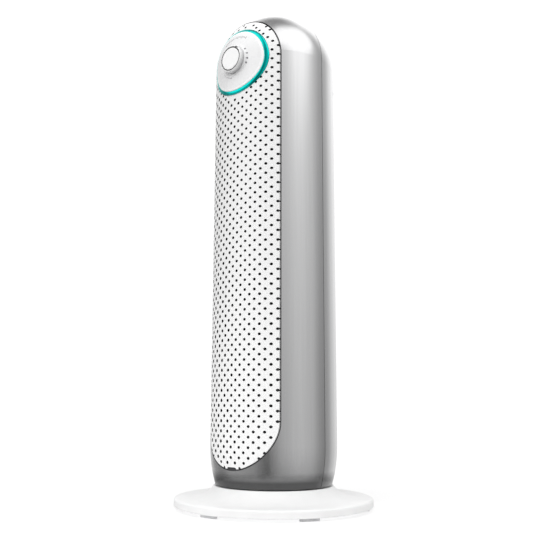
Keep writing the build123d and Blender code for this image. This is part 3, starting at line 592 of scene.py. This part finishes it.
def knob_wall():
    """White knob moulding, with painted shade darkening its wall towards the seat."""
    kit = Finish("knob_wall", (0.9, 0.9, 0.9), roughness=0.2, Coat_Weight=0.3, Coat_Roughness=0.05)
    _, y, _ = kit.axes()
    # painted shade: the colour darkens from the front of the knob back to its seat
    painted_seat_shade = kit.spread(y, 0, 1, knob_low.y + 0.5 * MM, knob_high.y)
    kit.tint(painted_seat_shade, (0.95, 0.95, 0.95), (0.42, 0.42, 0.43), 0.0, 1.0)
    kit.gloss(kit.noise(90, detail=3), 0.16, 0.26)
    kit.relief(kit.noise(45, detail=1), 0.02, 0.25)
    return kit.material


# the finish of each material slot, and of the nodes that need one of their own
finishes = {
    "silver": brushed_silver(),
    "white_gloss": glossy("white_gloss_moulding", (0.88, 0.88, 0.88), 0.22),
    "white_satin": moulded("white_satin_moulding", (0.84, 0.84, 0.84), 0.38, grain_mm=0.015),
    "teal": teal_gloss(),
    "pointer": printed("dark_print", (0.05, 0.05, 0.052)),
    "dark_grey_plastic": moulded("dark_grey_moulding", (0.075, 0.075, 0.08), 0.5),
    "net": fine_net(),
    "grey_plastic": moulded("grey_moulding", (0.36, 0.36, 0.37), 0.5),
    "black_plastic": moulded("black_moulding", (0.022, 0.022, 0.024), 0.45),
    "rubber": rubbery("pale_rubber", (0.66, 0.66, 0.67)),
    "black_rubber": rubbery("black_rubber", (0.03, 0.03, 0.03)),
    "steel": machined("turned_steel", (0.62, 0.62, 0.63), 0.25),
    "zinc": machined("zinc_plate", (0.58, 0.60, 0.62), 0.35, (90, 90, 90)),
    "bronze": machined("sintered_bronze", (0.55, 0.36, 0.17), 0.5, (500, 500, 500)),
    "circuit": circuit(),
    "components": components(),
    "hepa": filter_paper(),
    "carbon": carbon_mesh(),
    "foam": foam(),
    "ribbon": woven_tape(),
    "fan_plastic": moulded("fan_moulding", (0.06, 0.06, 0.065), 0.42),
}
ink = printed("grey_print", (0.22, 0.22, 0.23))
own_finish = {
    "front_grille": drilled_panel(),
    "base_disc": moulded("foot_moulding", (0.84, 0.84, 0.84), 0.5, grain_mm=0.01, Specular_IOR_Level=0.3),
    "knob_cap": glossy("knob_moulding", (0.96, 0.96, 0.96), 0.18),
}
slot_of = {entry["node"]: entry["material_slot"] for entry in frame["record"]["subparts"]}
for node, slot_name in slot_of.items():
    for material_slot in frame["nodes"][node].material_slots:
        material_slot.material = own_finish.get(node, finishes[slot_name])


# ---------------------------------------------------------------- making a piece
def add_piece(name, shape, body, material, replaced=(), smooth_angle=35):
    """Turn a bmesh into an object of the scene that rides on a body."""
    bmesh.ops.recalc_face_normals(shape, faces=shape.faces[:])
    mesh = bpy.data.meshes.new(name)
    shape.to_mesh(mesh)
    shape.free()
    mesh.materials.append(material)
    piece = bpy.data.objects.new(name, mesh)
    collection.objects.link(piece)
    mesh.shade_smooth()
    mesh.set_sharp_from_angle(angle=radians(smooth_angle))
    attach(piece, body)
    if replaced:
        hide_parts(*replaced)
    return piece


def tower_y(x, z):
    """Y of the tower's front surface at the point (x, z)."""
    rise = max(z - dome_z, 0.0)
    return -sqrt(max(tower_radius ** 2 - x ** 2 - rise ** 2, 0.0))


def spun(profile, axis_point, steps):
    """Closed ring made by turning a profile of (radius, y) points about an axis along Y."""
    shape = bmesh.new()
    corners = [shape.verts.new((radius, y, 0)) for radius, y in profile]
    edges = [shape.edges.new(pair) for pair in zip(corners, corners[1:] + corners[:1])]
    bmesh.ops.spin(
        shape, geom=corners + edges, cent=(0, 0, 0), axis=(0, 1, 0), angle=2 * pi, steps=steps,
        use_merge=True, use_duplicate=False,
    )
    bmesh.ops.remove_doubles(shape, verts=shape.verts[:], dist=1e-6)
    bmesh.ops.translate(shape, verts=shape.verts[:], vec=axis_point)
    return shape


def smooth_step(value, low, high):
    t = min(max((value - low) / (high - low), 0.0), 1.0)
    return t * t * (3 - 2 * t)


def arc_points(centre, arc_radius, start, end, count):
    """Points of an arc in (radius, height), angles in degrees."""
    turns = [radians(start + (end - start) * i / (count - 1)) for i in range(count)]
    return [(centre[0] + arc_radius * cos(t), centre[1] + arc_radius * sin(t)) for t in turns]


# ---------------------------------------------------------------- control dial
dial_axis = (0, 0, dial_z)
ring_crest = 1.95 * MM        # how far the ring's inner lip stands out of the tower
plate_radius = face_radius - 1.3 * MM
plate_rise = 2.65 * MM        # how far the white face stands out of the tower
seat_y = face_low.y
seat_radius = knob_radius + 0.6 * MM
seat_blend = 2.2 * MM         # width of the slope between the knob's seat and the face
knob_front = knob_low.y
knob_back = knob_high.y


def make_ring():
    """Teal bead that follows the tower's curve, low outside and high inside."""
    inner = plate_radius + 0.1 * MM
    depth = 2.2 * MM
    lip = 0.5 * MM
    # a wide arc that leans 20 degrees at its outer end and lies flat at its inner end
    lean = 20
    sweep = (ring_radius - inner - 0.8 * MM) / sin(radians(lean))
    profile = [(ring_radius, -depth), (ring_radius, 0.1 * MM)]
    profile += arc_points((inner + lip, ring_crest - sweep), sweep, 90 - lean, 90, 9)
    profile += arc_points((inner + lip, ring_crest - lip), lip, 110, 180, 4)
    profile += [(inner, -depth)]
    shape = spun([(radius, -height) for radius, height in profile], dial_axis, 200)
    for vert in shape.verts:
        vert.co.y += tower_y(vert.co.x, vert.co.z)
    return add_piece("teal_ring", shape, "cabinet", finishes["teal"], ["dial_ring"], 50)


def face_y(x, z):
    """Y of the dial's face: flat under the knob, then following the tower's curve."""
    radius = sqrt(x ** 2 + (z - dial_z) ** 2)
    edge = plate_radius - radius
    rounding = 0.4 * MM * (1 - smooth_step(edge, 0.0, 2.0 * MM)) ** 2
    curved = tower_y(x, z) - plate_rise + rounding
    share = smooth_step(radius, seat_radius, seat_radius + seat_blend)
    return seat_y * (1 - share) + curved * share


def make_face():
    """White face with a flat round seat for the knob."""
    bore = 4.6 * MM
    depth = 2.2 * MM
    steps = [seat_radius + seat_blend * i / 6 for i in range(7)]
    rim_width = 4 * MM
    flat_start, flat_end = seat_radius + seat_blend, plate_radius - rim_width
    wide = [flat_start + (flat_end - flat_start) * i / 6 for i in range(1, 7)]
    rim = [plate_radius - rim_width * (1 - i / 8) for i in range(1, 9)]
    radii = [bore, 12 * MM] + steps + wide + rim
    profile = [(radius, 0) for radius in radii] + [(radius, depth) for radius in reversed(radii)]
    shape = spun(profile, dial_axis, 200)
    for vert in shape.verts:
        vert.co.y += face_y(vert.co.x, vert.co.z)
    return add_piece("dial_plate", shape, "cabinet", dial_white(), ["dial_face"], 50)


def conform_mark(shape):
    """Lay a flat mark, drawn in x and z about the dial's centre, on the dial's face."""
    for vert in shape.verts:
        vert.co.z += dial_z
    for vert in shape.verts:
        vert.co.y += face_y(vert.co.x, vert.co.z)


def make_marks():
    """Generic scale: four dots beside the knob, a fan of ticks above and a wedge below."""
    thickness = 0.12 * MM
    shape = bmesh.new()
    dot_reach, dot_radius = 20.9 * MM, 1.15 * MM
    for degrees in (34, 14, -5, -22):
        turn = radians(degrees)
        spot = Matrix.Translation((dot_reach * cos(turn), 0, dot_reach * sin(turn)))
        bmesh.ops.create_cone(
            shape, cap_ends=True, segments=20, radius1=dot_radius, radius2=dot_radius, depth=thickness,
            matrix=spot @ Matrix.Rotation(pi / 2, 4, "X"),
        )
    # each bar: its angle, its distance from the centre, its length outwards and its width
    tick_count = 16
    bars = [
        (60 + 64 * i / (tick_count - 1), 32.5 * MM, (2.0 if i % 3 else 3.2) * MM, 0.85 * MM)
        for i in range(tick_count)
    ]
    wedge_count = 9
    bars += [
        (-150 + 50 * i / (wedge_count - 1), 23.6 * MM, (0.5 + 1.2 * i / (wedge_count - 1)) * MM, 0.9 * MM)
        for i in range(wedge_count)
    ]
    for degrees, reach, length, width in bars:
        turn = Matrix.Rotation(-radians(degrees), 4, "Y")
        size = Matrix.Diagonal((length, thickness, width, 1))
        bmesh.ops.create_cube(shape, size=1.0, matrix=turn @ Matrix.Translation((reach, 0, 0)) @ size)
    conform_mark(shape)
    return add_piece("dial_scale", shape, "cabinet", ink)


def make_knob():
    """Tapered knob with a rounded rim and a narrow flared skirt."""
    floor_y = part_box("knob_cap")[1].y
    groove = knob_radius - 1.8 * MM
    bore, socket = 3.0 * MM, 6.0 * MM
    hollow_y = knob_back - 3.4 * MM
    rim = knob_radius - 0.8 * MM
    rounding = 0.6 * MM
    chamfer = 0.15 * MM
    profile = [
        (bore, knob_back), (socket, knob_back), (socket, hollow_y), (knob_radius - 2.4 * MM, hollow_y),
        (knob_radius - 2.0 * MM, knob_back), (knob_radius - 0.3 * MM, knob_back),
        (knob_radius, knob_back - 0.3 * MM), (knob_radius, knob_back - 0.9 * MM),
        (knob_radius - 0.25 * MM, knob_back - 1.5 * MM), (knob_radius - 0.55 * MM, knob_back - 2.6 * MM),
    ]
    rim_centre = (rim - rounding, -knob_front - rounding)
    edge = arc_points(rim_centre, rounding, 0, 90, 6)
    profile += [(radius, -height) for radius, height in edge]
    profile += [(groove + chamfer, knob_front), (groove, knob_front + chamfer)]
    profile += [(groove, floor_y), (bore, floor_y)]
    shape = spun(profile, dial_axis, 128)
    return add_piece("dial_knob", shape, "knob", knob_wall(), ["control_knob"], 40)


def make_pointer():
    """Dark mark let into the knob's rim and its rounded edge."""
    pointer_low, pointer_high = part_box("knob_pointer")
    angle = atan2((pointer_low.z + pointer_high.z) / 2 - dial_z, (pointer_low.x + pointer_high.x) / 2)
    low_radius, high_radius = knob_radius - 1.75 * MM, knob_radius - 0.5 * MM
    depth, width, proud = 0.8 * MM, 4.6 * MM, 0.04 * MM
    shape = bmesh.new()
    size = Matrix.Diagonal((high_radius - low_radius, depth, width, 1))
    middle = Matrix.Translation(((low_radius + high_radius) / 2, knob_front + depth / 2 - proud, 0))
    place = Matrix.Translation(dial_axis) @ Matrix.Rotation(-angle, 4, "Y")
    bmesh.ops.create_cube(shape, size=1.0, matrix=place @ middle @ size)
    bmesh.ops.bevel(
        shape, geom=shape.edges[:], offset=0.12 * MM, affect="EDGES", segments=2, profile=0.5, material=-1,
    )
    return add_piece("knob_mark", shape, "knob", finishes["pointer"], ["knob_pointer"])


make_ring()
make_face()
make_marks()
make_knob()
make_pointer()
make_fills()
make_camera()
make_room()
make_floor()
bpy.context.scene.view_settings.view_transform = "Standard"
